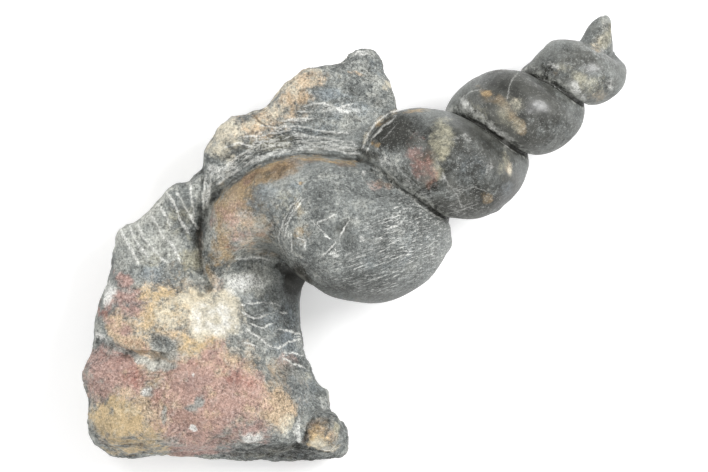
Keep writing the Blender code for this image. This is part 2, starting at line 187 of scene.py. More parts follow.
CRACKS = [
    [(254, 114), (258, 121), (266, 126)],
    [(314, 419), (308, 427), (305, 440)],
]
# Steps in the broken face: the drop in mm and its reach, then corners, with the low side on the right hand.
STEPS = [
    (0.6, 17, [(90, 332), (102, 338), (116, 345), (134, 350), (152, 352)]),
    (0.35, 12, [(176, 372), (152, 378), (134, 366), (114, 353), (98, 347)]),
    (1, 22, [(169, 453), (210, 448), (237, 441), (259, 438), (276, 437), (303, 445)]),
    (0.7, 18, [
        (222, 276), (209, 292), (234, 318), (212, 340), (227, 366), (250, 369), (267, 375), (285, 396), (296, 432),
    ]),
    (0.5, 16, [(307, 88), (330, 86), (356, 90), (374, 100)]),
    (0.4, 12, [(150, 262), (164, 268), (182, 267)]),
    (0.4, 12, [(420, 190), (436, 178), (441, 163), (431, 146), (416, 134)]),
    (0.6, 18, [(301, 194), (289, 210), (280, 229), (281, 250)]),
    (0.4, 14, [(158, 380), (144, 388), (130, 402)]),
    (0.5, 12, [(112, 440), (140, 436), (170, 444)]),
]

# ---- where each stain lies, with some patches that paint shade or light: layout x, y, half sizes, strength, then the turn in degrees clockwise, if it is turned
STAINS = {
    "pink": [
        (188, 384, 46, 30, 1.1), (238, 396, 38, 32, 1.1), (200, 430, 50, 26, 1), (214, 356, 15, 20, 1),
        (250, 432, 26, 16, 0.8), (125, 280, 9, 9, 1.1), (124, 303, 22, 15, 1), (114, 374, 38, 29, 1.1, 10),
        (118, 326, 18, 10, 0.9, 20), (240, 232, 26, 22, 0.5, -20), (264, 228, 18, 16, 0.4),
        (232, 210, 14, 18, 0.42, 15), (214, 217, 4, 14, 0.6, 12), (248, 180, 14, 10, 0.45),
        (236, 222, 12, 16, 0.6, 20), (376, 182, 16, 7, 0.35, 20), (287, 362, 13, 12, 0.5), (196, 314, 6, 9, 0.45),
        (216, 282, 9, 12, 0.6), (376, 182, 10, 5, 0.4, 20), (212, 390, 50, 34, 1.3), (196, 448, 32, 11, 1.1),
        (118, 368, 26, 22, 1.3, 10),
    ],
    "red": [
        (110, 358, 24, 16, 0.38, 15), (134, 378, 18, 13, 0.48, 30), (118, 392, 26, 12, 0.25), (104, 313, 10, 6, 1, 20),
        (134, 344, 18, 6, 0.4, 20), (419, 155, 17, 25, 0.62, -14), (430, 176, 10, 15, 0.5, -20), (222, 356, 9, 7, 0.5),
        (240, 378, 24, 8, 0.5, 10), (190, 360, 16, 6, 0.4), (155, 398, 10, 10, 0.5), (230, 250, 8, 4, 0.4),
    ],
    "yellow": [
        (116, 419, 31, 21, 1.2), (150, 430, 24, 15, 0.85), (168, 306, 38, 22, 0.7), (198, 340, 26, 17, 0.7),
        (150, 330, 26, 14, 0.5, 10), (122, 443, 24, 8, 0.8), (140, 449, 36, 8, 0.8), (190, 424, 10, 8, 0.5),
        (322, 447, 17, 6, 0.8), (317, 441, 12, 9, 0.9, -20), (155, 318, 24, 12, 0.5), (215, 420, 22, 12, 0.45),
        (186, 352, 14, 8, 0.6), (442, 142, 14, 20, 0.16, 12),
    ],
    "peach": [
        (240, 230, 26, 24, 0.6, -20), (272, 104, 56, 34, 0.5, -32), (190, 392, 112, 58, 0.85), (176, 316, 72, 40, 0.6),
        (131, 342, 23, 10, 1.1, 22), (276, 409, 20, 26, 1.2, 20), (310, 78, 24, 11, 1.25, -5),
        (284, 100, 12, 9, 0.9, -40), (300, 97, 11, 9, 0.9), (222, 136, 18, 22, 0.4, 35), (356, 74, 11, 3, 0.9, 15),
        (112, 330, 8, 7, 0.7), (130, 318, 26, 16, 0.9), (323, 435, 17, 13, 0.7, -20), (508, 163, 5, 11, 0.55, -10),
    ],
    "cream": [
        (214, 318, 30, 24, 1.25), (196, 300, 22, 16, 0.8), (300, 82, 34, 12, 0.6, -25), (268, 108, 40, 14, 0.45, -35),
        (316, 444, 10, 7, 0.7), (329, 448, 9, 4, 0.7), (228, 304, 17, 14, 1.1), (176, 312, 34, 18, 0.6),
        (202, 336, 12, 10, 0.6), (447, 133, 6, 9, 0.2, 12), (514, 104, 9, 9, 0.4, 30), (516, 126, 12, 8, 0.42, 50),
        (322, 78, 24, 7, 0.5, 10), (388, 84, 4, 7, 0.8), (369, 135, 4, 13, 0.5, 22), (386, 117, 13, 4, 0.5, -38),
        (600, 36, 11, 20, 0.35, 20), (285, 425, 11, 14, 0.6), (124, 410, 20, 6, 0.4), (222, 136, 20, 22, 0.9, 35),
        (228, 160, 10, 12, 0.4), (215, 280, 9, 10, 0.5), (510, 168, 5, 9, 0.5), (436, 176, 5, 7, 0.2),
        (248, 124, 12, 8, 0.4), (214, 318, 27, 22, 1.8), (200, 302, 20, 14, 1.2), (170, 317, 28, 14, 0.62),
    ],
    "ochre": [
        (230, 204, 17, 30, 0.9, 22), (264, 176, 42, 10, 1.05, -25), (223, 240, 12, 34, 0.8),
        (244, 192, 20, 14, 0.5, -30), (268, 214, 14, 20, 0.5), (262, 238, 24, 14, 0.5, -20),
        (215, 264, 8, 22, 0.62, 5), (252, 220, 34, 34, 0.34), (300, 186, 4, 3, 1), (340, 160, 24, 3, 0.8, 5),
        (308, 158, 26, 3.5, 0.75, -2), (486, 196, 9, 7, 0.5, -30), (377, 143, 4, 4, 0.95), (487, 92, 10, 4, 1.1, 15),
        (501, 103, 11, 7, 0.7, 38), (510, 115, 12, 7, 0.7, 48), (519, 130, 10, 6, 0.7, 55), (284, 222, 6, 14, 0.4),
        (246, 210, 6, 8, 0.45), (322, 427, 17, 11, 0.6, -20), (311, 440, 7, 8, 0.7), (410, 111, 20, 3, 0.7, -5),
        (384, 120, 12, 4, 0.5, -40), (262, 252, 20, 6, 0.4, 10), (182, 270, 14, 12, 0.45), (294, 208, 8, 14, 0.35),
        (300, 235, 10, 18, 0.3), (242, 222, 12, 8, 0.5), (243, 238, 15, 13, 0.42), (600, 96, 12, 6, 0.35, -20),
        (517, 124, 16, 7, 0.75, 52), (490, 99, 14, 5, 0.5, 25), (552, 72, 10, 5, 0.3), (598, 44, 7, 10, 0.5),
        (130, 442, 20, 5, 0.5),
    ],
    "brown": [
        (272, 173, 40, 9, 0.75, -20), (236, 188, 22, 8, 0.42, -32), (424, 160, 14, 22, 0.5, -15),
        (200, 240, 5, 24, 0.6), (500, 110, 24, 20, 0.3, 30), (320, 420, 15, 5, 0.6, -12), (307, 434, 3, 12, 0.7, 25),
        (344, 164, 17, 3, 0.6, 6), (300, 162, 24, 3, 0.5, -5), (384, 183, 13, 5, 0.65, 20), (430, 180, 5, 8, 0.6),
        (105, 440, 14, 6, 0.7, 15), (508, 112, 10, 8, 0.6, 45), (218, 246, 5, 14, 0.4), (204, 262, 5, 12, 0.5),
        (136, 448, 14, 5, 0.45), (393, 112, 9, 3, 0.5, -10), (240, 205, 6, 10, 0.3), (136, 344, 20, 8, 0.4, 20),
    ],
    "blue": [
        (284, 330, 24, 32, 0.75), (346, 114, 34, 13, 0.65, -8), (330, 94, 25, 7, 0.8, 3), (377, 66, 8, 9, 0.7),
        (252, 203, 7, 8, 0.85), (276, 195, 30, 16, 0.5, -20), (258, 222, 12, 9, 0.5), (262, 208, 12, 10, 0.45),
        (212, 236, 3, 24, 0.6, 3), (290, 158, 28, 4, 0.4, -3), (234, 345, 22, 14, 0.5), (154, 276, 18, 11, 0.7),
        (300, 385, 20, 26, 0.6), (272, 455, 46, 8, 0.2), (470, 168, 20, 19, 0.35), (250, 290, 24, 20, 0.45),
        (310, 130, 34, 9, 0.5), (162, 346, 14, 10, 0.6), (400, 250, 60, 50, 0.25), (510, 190, 12, 12, 0.4),
    ],
    "bare": [
        (162, 343, 16, 9, 1.1, 25), (160, 363, 19, 8, 0.9, 5), (170, 352, 12, 6, 0.8, 20), (104, 342, 16, 4, 0.7, 32),
        (124, 352, 20, 4, 0.8, 16), (147, 359, 18, 5, 0.9, 8), (199, 402, 6, 9, 1.1, 30), (190, 410, 8, 5, 0.9),
        (166, 415, 4, 12, 0.8), (150, 392, 8, 7, 0.7), (292, 372, 14, 16, 0.6, 30), (240, 350, 14, 8, 0.5),
        (186, 356, 10, 5, 0.4, 30),
    ],
    # The white patches under the tube's overhang and by the ledge step are partly pale stone, partly painted light
    # against the overhang's shade; the rest are chalky white.
    "white": [
        (251, 438, 12, 7, 1), (193, 429, 3, 3, 1), (110, 293, 7, 11, 1.2, 10), (99, 337, 7, 4, 0.9, 25),
        (298, 430, 3, 16, 0.8, -5), (322, 404, 4, 12, 0.55), (150, 392, 7, 5, 0.55), (364, 173, 4, 3, 1),
        (302, 243, 5, 5, 0.5), (364, 239, 6, 2, 0.7), (335, 252, 6, 3, 0.7), (553, 67, 8, 4, 0.8, 25),
        (386, 163, 13, 4, 0.6, 42), (408, 181, 13, 3, 0.5, 42), (424, 192, 14, 4, 0.35, 42), (466, 141, 15, 4, 0.42),
        (488, 166, 4, 16, 0.3, 8), (444, 178, 4, 8, 0.4, -20), (478, 112, 16, 4, 0.4, 32), (500, 126, 10, 3, 0.45, 32),
        (574, 88, 16, 4, 0.35, 38), (612, 84, 8, 7, 0.32), (600, 24, 6, 9, 0.3, 20), (262, 256, 24, 4, 0.35),
        (158, 362, 18, 9, 0.14), (328, 448, 9, 3, 0.6), (250, 452, 60, 4, 0.14), (456, 205, 28, 9, 0.1, -5),
        (250, 281, 24, 11, 1.1), (214, 318, 26, 20, 0.8), (300, 118, 14, 4, 0.6, -5), (366, 54, 11, 4, 0.8, -5),
        (470, 142, 10, 3, 0.45, 20), (238, 330, 10, 9, 0.5), (466, 104, 10, 4, 0.5, 40), (246, 300, 12, 9, 0.25),
        (212, 172, 8, 9, 0.5), (192, 376, 3, 3, 0.8), (345, 246, 16, 8, 0.35), (340, 112, 26, 6, 0.45),
        (232, 290, 10, 8, 0.5), (264, 340, 8, 6, 0.4), (356, 222, 4, 12, 0.25, 40), (466, 107, 9, 5, 0.85, 35),
        (496, 130, 24, 5, 0.8, 36), (576, 92, 18, 5, 0.8, 35), (507, 148, 5, 9, 0.6, -20),
    ],
    # The dark patches along the crevice left of the tube, under the tube, in the pit under the body whorl's neck, along
    # the crease between the two largest whorls and on the right side of the corner lump are painted shade; those along
    # the bottom face are partly its own grey, partly painted shade; the rest are dark stains.
    "dark": [
        (200, 250, 3, 18, 0.6, -2), (252, 258, 26, 5, 0.4, -4), (272, 174, 34, 7, 0.48, -22),
        (520, 108, 46, 40, 0.45, 30), (556, 128, 26, 22, 0.4, 30), (375, 154, 9, 5, 0.8, 45),
        (396, 174, 12, 4, 0.6, 42), (416, 186, 12, 3, 0.6, 40), (401, 188, 28, 4, 0.6, 41), (432, 207, 16, 5, 0.9, 38),
        (297, 278, 12, 11, 1.6), (286, 269, 14, 5, 1.3, 22), (304, 284, 7, 8, 1.5, 30), (286, 325, 14, 7, 0.55, 10),
        (291, 346, 8, 7, 0.5), (398, 132, 19, 11, 0.95, -30), (468, 163, 19, 19, 0.75), (367, 152, 4, 10, 0.9, -45),
        (342, 226, 13, 7, 0.7, -20), (178, 286, 10, 7, 0.6), (118, 442, 20, 5, 0.6, 5), (268, 452, 34, 4, 0.4, -3),
        (288, 448, 22, 5, 0.6), (306, 434, 2.5, 12, 0.6, 25), (112, 264, 7, 10, 0.45), (262, 270, 16, 7, 0.4),
        (294, 300, 5, 12, 0.5), (470, 200, 24, 9, 0.5, -15), (496, 120, 10, 6, 0.4, 40), (484, 101, 14, 5, 0.5, 25),
        (604, 38, 3, 8, 0.5, 20), (170, 258, 4, 3, 0.3), (252, 203, 5, 6, 0.35), (186, 404, 6, 7, 0.35),
        (202, 394, 5, 9, 0.4, 30), (160, 415, 4, 12, 0.35), (283, 372, 8, 10, 0.4, 40), (398, 300, 40, 6, 0.4, -8),
        (315, 292, 9, 4, 0.4, 20), (232, 152, 12, 5, 0.4, -30), (343, 434, 5, 16, 0.6, -8),
        (275, 454, 50, 5, 0.35, -2), (606, 40, 4, 12, 0.5, 15), (268, 146, 38, 9, 0.4, -8), (491, 102, 9, 5, 0.5, 35),
        (568, 84, 12, 4, 0.45, 35), (416, 150, 10, 14, 0.3, -14),
    ],
    "olive": [
        (443, 139, 15, 25, 0.76, 12), (437, 168, 6, 16, 0.6, -20), (512, 108, 13, 15, 0.55, 40),
        (592, 88, 20, 10, 0.4, -20), (560, 66, 14, 8, 0.4, 20), (606, 36, 7, 16, 0.7, 12), (190, 258, 14, 14, 0.8),
        (180, 215, 22, 22, 0.35, -20), (290, 200, 16, 20, 0.4), (192, 246, 10, 22, 0.45), (250, 455, 90, 7, 0.3, -2),
        (270, 145, 34, 10, 0.55, -8), (336, 428, 5, 14, 0.9, 10), (150, 262, 20, 10, 0.4),
        (505, 165, 12, 16, 0.35, -10), (300, 372, 12, 16, 0.35), (509, 119, 22, 11, 0.62, 48),
        (580, 84, 18, 8, 0.5, 35), (508, 164, 6, 14, 0.5, -10), (482, 112, 24, 7, 0.45, 34),
    ],
}

# ---- how light the bare stone is, in the same way: the tone stands for the strength, 1 is palest, 0 and less darkest
# The darkest level, in the pit under the body whorl's neck, is painted shade; the low level along the bottom face is
# partly its own grey, partly painted shade.
TONES = [
    (160, 225, 60, 50, 0.86), (186, 215, 18, 40, 0.48, -20), (155, 275, 30, 16, 0.5), (185, 275, 22, 14, 0.6),
    (190, 380, 110, 110, 0.7), (162, 343, 16, 9, 0.42, 25), (250, 304, 30, 30, 0.5), (250, 282, 26, 16, 1),
    (238, 228, 30, 32, 0.9), (254, 201, 14, 12, 0.25), (272, 174, 38, 10, 0.12, -20), (160, 358, 22, 14, 0.9),
    (288, 335, 22, 40, 0.48), (302, 390, 26, 40, 0.48), (290, 300, 12, 24, 0.36), (290, 160, 34, 6, 0.42, -4),
    (285, 453, 62, 9, 0.15), (325, 435, 24, 26, 0.5), (300, 120, 110, 50, 0.55, -20), (268, 146, 40, 12, 0.2, -10),
    (372, 72, 22, 26, 0.58), (330, 93, 26, 8, 0.46), (345, 118, 36, 12, 0.66), (290, 200, 24, 50, 0.7),
    (296, 280, 12, 14, -0.4), (370, 235, 90, 70, 0.46, 35), (345, 215, 26, 20, 0.5), (342, 226, 14, 8, 0.26),
    (372, 290, 60, 20, 0.3, 5), (345, 214, 30, 16, 0.56, -10), (455, 165, 62, 56, 0.06, 30),
    (395, 132, 26, 20, -0.06, -25), (467, 165, 22, 21, 0.22), (460, 208, 34, 14, -0.3), (508, 190, 16, 22, -0.05, 30),
    (520, 110, 62, 58, -0.07, 30), (530, 130, 18, 12, -0.14, 30), (568, 130, 16, 22, 0.24, 30),
    (586, 72, 48, 42, 0.22, 30), (590, 26, 10, 16, 0.36, 20), (606, 38, 9, 16, 0.1, 10), (420, 222, 22, 20, 0.36),
    (182, 262, 16, 10, 0.58),
]

# ---- how uneven the stone's grey is, also with a level for the strength
MOTTLES = [
    (372, 238, 86, 66, 0.9, 35), (400, 168, 42, 13, 2.6, 42), (464, 202, 40, 17, 2.6, -5),
    (398, 130, 20, 12, 1.2, -25), (530, 110, 60, 50, 1.1, 30), (467, 163, 22, 23, 1.6), (240, 455, 110, 10, 2.2),
    (482, 113, 28, 8, 1.3, 32), (586, 70, 30, 26, 2, 30), (548, 70, 14, 8, 1.3, 25), (608, 84, 12, 10, 1.2),
    (604, 36, 12, 18, 2.6, 20), (248, 220, 46, 46, 1.1), (262, 260, 36, 8, 1.8), (160, 228, 44, 40, 1.1, -20),
    (541, 107, 13, 11, 0.4), (505, 84, 24, 11, 0.6, 20), (462, 124, 12, 14, 0.4), (532, 130, 20, 14, 2.7, 30),
    (418, 155, 15, 24, 1.7, -14), (290, 200, 20, 20, 1.4), (205, 314, 42, 26, 0.2), (118, 420, 30, 20, 0.9),
]

# Where the whorls are polished, and where their fine scrape marks lie.
POLISH = [
    (541, 108, 30, 32, 1.08, 20), (500, 86, 30, 16, 0.5, 20), (592, 66, 26, 24, 0.9, 20), (350, 228, 22, 22, 0.5),
    (508, 185, 14, 26, 0.6, 20), (462, 122, 22, 12, 0.5, 25),
]
SCRAPES = [(412, 238, 44, 52, 1, 20), (372, 272, 46, 24, 0.8, 5), (452, 205, 26, 18, 0.4)]


def display_colour(red, green, blue):
    """A colour that a screen shows with these three levels, as the shader's own light levels."""
    levels = np.array((red, green, blue)) / 255
    return tuple(np.where(levels <= 0.04045, levels / 12.92, ((levels + 0.055) / 1.055) ** 2.4).tolist())


def colour_property(title, description, *levels):
    return bpy.props.FloatVectorProperty(
        name=title, description=description, subtype="COLOR", size=3, min=0, max=1, default=display_colour(*levels),
    )


def length_property(title, description, millimetres):
    return bpy.props.FloatProperty(
        name=title, description=description, default=millimetres * MM, min=0, subtype="DISTANCE", unit="LENGTH",
    )


def power_property(title, description, watts):
    return bpy.props.FloatProperty(name=title, description=description, default=watts, min=0, unit="POWER")


class FossilShape(bpy.types.PropertyGroup):
    """Sizes of the relief that is cut into the stone."""

    voxel: length_property("Sculpting grid", "Distance between points while the stone is sculpted", 0.5)
    swell: length_property("Swells", "Height of the slow unevenness of the broken rock", 0.55)
    chip: length_property("Chips", "Height of the flat chips of the broken rock", 0.5)
    grain: length_property("Grain", "Height of the coarse grain of the rock", 0.16)
    suture: length_property("Suture", "Extra depth of the crease between two whorls", 1.0)
    rib: length_property("Ribs", "Height of the ribs and growth lines", 0.55)
    crust: length_property("Crust", "Thickness of the stained crust over the grey rock", 0.3)
    triangles: bpy.props.IntProperty(
        name="Triangles", description="Most triangles in the finished stone", default=196000, min=10000,
    )


class FossilColours(bpy.types.PropertyGroup):
    """Colours of the stone and of its stains."""

    shadow_grey: colour_property("Dark grey", "The darkest bare stone", 40, 41, 36)
    middle_grey: colour_property("Middle grey", "Bare stone of middle tone", 122, 126, 124)
    light_grey: colour_property("Light grey", "The palest bare stone", 196, 197, 189)
    pink: colour_property("Pink", "Clay pink crust", 184, 149, 139)
    red: colour_property("Red", "Iron red stain", 158, 104, 92)
    yellow: colour_property("Yellow", "Straw yellow crust", 208, 183, 140)
    peach: colour_property("Peach", "Orange to peach crust", 206, 180, 148)
    cream: colour_property("Cream", "Chalky cream crust", 230, 221, 198)
    ochre: colour_property("Ochre", "Ochre stain on the tube", 172, 143, 98)
    brown: colour_property("Brown", "Rusty brown stain", 116, 88, 62)
    olive: colour_property("Olive", "Soft olive beige bloom", 186, 181, 156)
    blue: colour_property("Blue grey", "Slate blue grey", 136, 146, 152)
    white: colour_property("White", "Chalky white", 236, 236, 231)
    # The dark colour also paints the shade in the crevices and the creases, and darkens the hollows.
    dark: colour_property("Dark", "Olive black stain", 44, 44, 38)


class FossilStage(bpy.types.PropertyGroup):
    """The table, the light and the view."""

    floor_size: length_property("Floor size", "Side of the square floor", 2400)
    sky: bpy.props.FloatProperty(
        name="Sky", description="Strength of the even light from all round", default=0.62, min=0,
    )
    key: power_property("Key light", "Power of the large lamp above and to the right", 6.5)
    glow: bpy.props.FloatProperty(
        name="Table glow", description="Light that the table itself gives from below", default=0.35, min=0,
    )
    side: power_property("Side light", "Power of the lamp above and to the left", 2.5)


# ---- where things lie on the layout


def layout_places(points):
    """Where the layout shows each point of the stone, in grid units right and down."""
    shifted = points - BOX_SHIFT
    scale = (EYE_HEIGHT - LAYOUT_HEIGHT) / (EYE_HEIGHT - shifted[:, 2]) / GRID
    return np.c_[GRID_MIDDLE[0] + shifted[:, 0] * scale, GRID_MIDDLE[1] - shifted[:, 1] * scale]


def stone_point(x, y, height):
    """The point of the stone that the layout shows at x, y, when it lies at this height."""
    scale = GRID * (EYE_HEIGHT - height) / (EYE_HEIGHT - LAYOUT_HEIGHT)
    return np.array(((x - GRID_MIDDLE[0]) * scale, (GRID_MIDDLE[1] - y) * scale, height)) + BOX_SHIFT


def soft_step(share):
    share = np.clip(share, 0, 1)
    return share * share * (3 - 2 * share)


def nearest_line(places, *lines):
    """How far each place lies from the nearest line, on which side of it (the right hand is 1), and which it is."""
    gap = np.full(len(places), np.inf)
    side = np.ones(len(places))
    which = np.zeros(len(places), int)
    for index, corners in enumerate(lines):
        corners = np.array(corners, float)
        for start, end in zip(corners[:-1], corners[1:]):
            run = end - start
            share = np.clip(((places - start) @ run) / (run @ run), 0, 1)
            away = places - start - share[:, None] * run
            away = np.hypot(away[:, 0], away[:, 1])
            turned = run[0] * (places[:, 1] - start[1]) - run[1] * (places[:, 0] - start[0])
            closer = away < gap
            gap[closer] = away[closer]
            side[closer] = np.where(turned[closer] < 0, -1, 1)
            which[closer] = index
    return gap, side, which


def patch(places, x, y, half_width, half_height, strength, turn=0):
    """The strength of an oval patch of the layout and its share: 1 in its core, falling softly to 0 over its rim."""
    core, rim = 0.4, 0.95
    angle = math.radians(turn)
    apart = places - np.array((x, y))
    along = apart[:, 0] * math.cos(angle) + apart[:, 1] * math.sin(angle)
    across = apart[:, 1] * math.cos(angle) - apart[:, 0] * math.sin(angle)
    return strength, 1 - soft_step((np.hypot(along / half_width, across / half_height) - core) / rim)


def cover(places, patches):
    """The strongest of several patches at each place."""
    total = np.zeros(len(places))
    for oval in patches:
        strength, share = patch(places, *oval)
        total = np.maximum(total, strength * share)
    return total


def blended(places, value, patches):
    """The value at each place, drawn in turn to the level that each patch has for its strength."""
    for oval in patches:
        level, share = patch(places, *oval)
        value = value + share * (level - value)
    return value


def noise_at(points, size, seed, octaves=3):
    """Slow noise from about -1 to 1, with features of this size."""
    start = Vector((17.3, 5.1, 9.7)) * seed
    return np.array([noise.fractal(Vector(p) / size + start, 0.9, 2.1, octaves) for p in points])


def drift(points, millimetres, seed, reach):
    """How far the marks at each point wander on the layout, in grid units right and down."""
    return np.c_[noise_at(points, millimetres * MM, seed), noise_at(points, millimetres * MM, seed + 1)] * reach


# ---- the spiral


def axis_directions():
    """The shell's own axes: towards the lower right of the stone, into its back, and towards its tip."""
    along = Vector((
        math.cos(AXIS_AZIMUTH) * math.cos(AXIS_DROP),
        math.sin(AXIS_AZIMUTH) * math.cos(AXIS_DROP),
        -math.sin(AXIS_DROP),
    ))
    right = Vector((math.sin(AXIS_AZIMUTH), -math.cos(AXIS_AZIMUTH), 0))
    return np.array((right, along.cross(right), along))


def bow(local):
    """How far the shell's axis is bowed aside at each point."""
    return AXIS_BOW * ((local[:, 2] + TIP_TO_FIRST_WHORL) / (100 * MM)) ** 2


def to_shell(points):
    """Points of the stone in the shell's own axes, with the lost tip at the origin and no bow."""
    local = (points - BOX_SHIFT - LOST_TIP) @ axis_directions().T
    local[:, 0] += bow(local)
    return local


def from_shell(local):
    bowed = local.copy()
    bowed[:, 0] -= bow(local)
    return bowed @ axis_directions() + LOST_TIP + BOX_SHIFT


class Spiral:
    """How each point of the stone lies to the nearest turn of the tube that filled the shell."""

    def __init__(self, points):
        local = to_shell(points)
        depth = -local[:, 2]
        radius = np.hypot(local[:, 0], local[:, 1])
        share = np.arctan2(-local[:, 1], local[:, 0]) / (2 * math.pi) - TURN_OFFSET
        level = np.log(np.maximum(depth, MM) / TIP_TO_FIRST_WHORL) / math.log(GROWTH_PER_TURN)
        first = np.round(level - share)
        self.ring = np.full(len(points), np.inf)
        second = np.full(len(points), np.inf)
        self.turn = np.zeros(len(points))
        for whole in (first - 1, first, first + 1):
            turn = share + whole
            size = GROWTH_PER_TURN**turn
            out = (radius / size - SPIRAL_SHARE * FIRST_WHORL_RADIUS) / ((1 - SPIRAL_SHARE) * FIRST_WHORL_RADIUS)
            fuller = 1 + FLANK_FILL * soft_step((0.65 - out) / 0.5)
            up = (local[:, 2] / size + TIP_TO_FIRST_WHORL) / (TUBE_HEIGHT * fuller)
            ring = (np.abs(out) ** TUBE_SQUARENESS + np.abs(up) ** TUBE_SQUARENESS) ** (1 / TUBE_SQUARENESS)
            ring[(turn < FIRST_TURN) | (turn > LAST_TURN)] = np.inf
            closer = ring < self.ring
            second = np.where(closer, self.ring, np.minimum(second, ring))
            self.ring[closer] = ring[closer]
            self.turn[closer] = turn[closer]
        self.size = GROWTH_PER_TURN**self.turn
        gap = np.full(len(points), np.inf)
        np.subtract(second, self.ring, out=gap, where=np.isfinite(second))
        self.crease = np.minimum(gap * TUBE_HEIGHT * self.size, CREASE_REACH)
        outside = radius * TIP_TO_FIRST_WHORL / (FIRST_WHORL_RADIUS * np.maximum(depth, MM))
        rock = np.clip((outside - 0.98) / 0.2, 0, 1)
        rock = np.maximum(rock, np.clip((depth - MATRIX_START) / MATRIX_BLEND, 0, 1))
        self.rock = np.maximum(rock, soft_step((self.turn - LAST_TURN + 0.3) / 0.2))

    def trued(self, points):
        """The points, with those on a whorl drawn onto the tube's own oval."""
        local = to_shell(points)
        angle = np.arctan2(local[:, 1], local[:, 0])
        out = SPIRAL_SHARE * FIRST_WHORL_RADIUS * self.size
        middle = np.c_[out * np.cos(angle), out * np.sin(angle), -TIP_TO_FIRST_WHORL * self.size]
        ring = np.where(np.isfinite(self.ring), self.ring, 1)
        wanted = from_shell(middle + (local - middle) / ring[:, None])
        pull = (1 - soft_step((np.abs(ring - 1) - 0.14) / 0.08)) * (1 - self.rock)
        return points + pull[:, None] * (wanted - points)


# ---- the sculpted stone


def vectors_of(layer, name):
    """One vector for each item of a mesh's layer, such as its points' places or normals."""
    vectors = np.empty(len(layer) * 3, np.float32)
    layer.foreach_get(name, vectors)
    return vectors.reshape(-1, 3).astype(float)


def set_points(mesh, points):
    mesh.vertices.foreach_set("co", points.astype(np.float32).ravel())
    mesh.update()


def averaged(mesh, values, passes):
    """Values at the points of a mesh, each mixed with its neighbours' several times."""
    ends = np.empty(len(mesh.edges) * 2, np.int64)
    mesh.edges.foreach_get("vertices", ends)
    a, b = ends.reshape(-1, 2).T
    count = np.bincount(a, minlength=len(values)) + np.bincount(b, minlength=len(values))
    for _ in range(passes):
        total = np.bincount(a, values[b], len(values)) + np.bincount(b, values[a], len(values))
        values = 0.5 * values + 0.5 * total / count
    return values


def evened(mesh, points, passes):
    """The points of a mesh, each drawn between its neighbours several times."""
    return np.column_stack([averaged(mesh, points[:, axis], passes) for axis in range(3)])


def apply_modifier(thing, kind, **settings):
    modifier = thing.modifiers.new(kind.lower(), kind)
    for name, value in settings.items():
        setattr(modifier, name, value)
    bpy.ops.object.modifier_apply(modifier=modifier.name)


def even_stone(name, voxel):
    """A welded copy of the packed solid, as one even skin with its facets smoothed away."""
    bpy.ops.object.select_all(action="DESELECT")
    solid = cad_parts["fossil_mold"]
    stone = bpy.data.objects.new(name, solid.data.copy())
    bpy.context.scene.collection.objects.link(stone)
    bpy.context.view_layer.objects.active = stone
    stone.select_set(True)
    bpy.ops.object.mode_set(mode="EDIT")
    bpy.ops.mesh.select_all(action="SELECT")
    bpy.ops.mesh.remove_doubles(threshold=1e-6)
    bpy.ops.mesh.normals_make_consistent(inside=False)
    bpy.ops.object.mode_set(mode="OBJECT")
    apply_modifier(stone, "REMESH", mode="VOXEL", voxel_size=voxel)
    apply_modifier(stone, "SMOOTH", factor=0.5, iterations=4)
    return stone


def chip_heights(points, size):
    """Height of the flat chip that each point lies on, from about -1 to 1, for chips of this size."""
    heights = np.empty(len(points))
    for index, point in enumerate(points):
        point = Vector(point) / size
        warped = point + 0.35 * noise.noise_vector(point * 0.8)
        _, seeds = noise.voronoi(warped)
        tilt = noise.cell_vector(seeds[0] * 7.31) - Vector((0.5, 0.5, 0.5))
        heights[index] = 1.1 * (warped - seeds[0]).dot(tilt) + 0.8 * tilt.x
    return heights


def rock_relief(points, shape):
    """Height of broken rock at each point: swells, two sizes of flat chips, and grain."""
    swell = noise_at(points, SWELL_SIZE, SWELLS)
    chips = chip_heights(points, LARGE_CHIP) + 0.35 * chip_heights(points, SMALL_CHIP)
    grain = noise_at(points, GRAIN_SIZE, GRAIN, 2)
    return shape.swell * (swell - 0.25) + shape.chip * chips + shape.grain * grain


def line_relief(places, lines, height, half_width, broken=1):
    gap, _, _ = nearest_line(places, *lines)
    return height * np.exp(-((gap / half_width) ** 2)) * broken


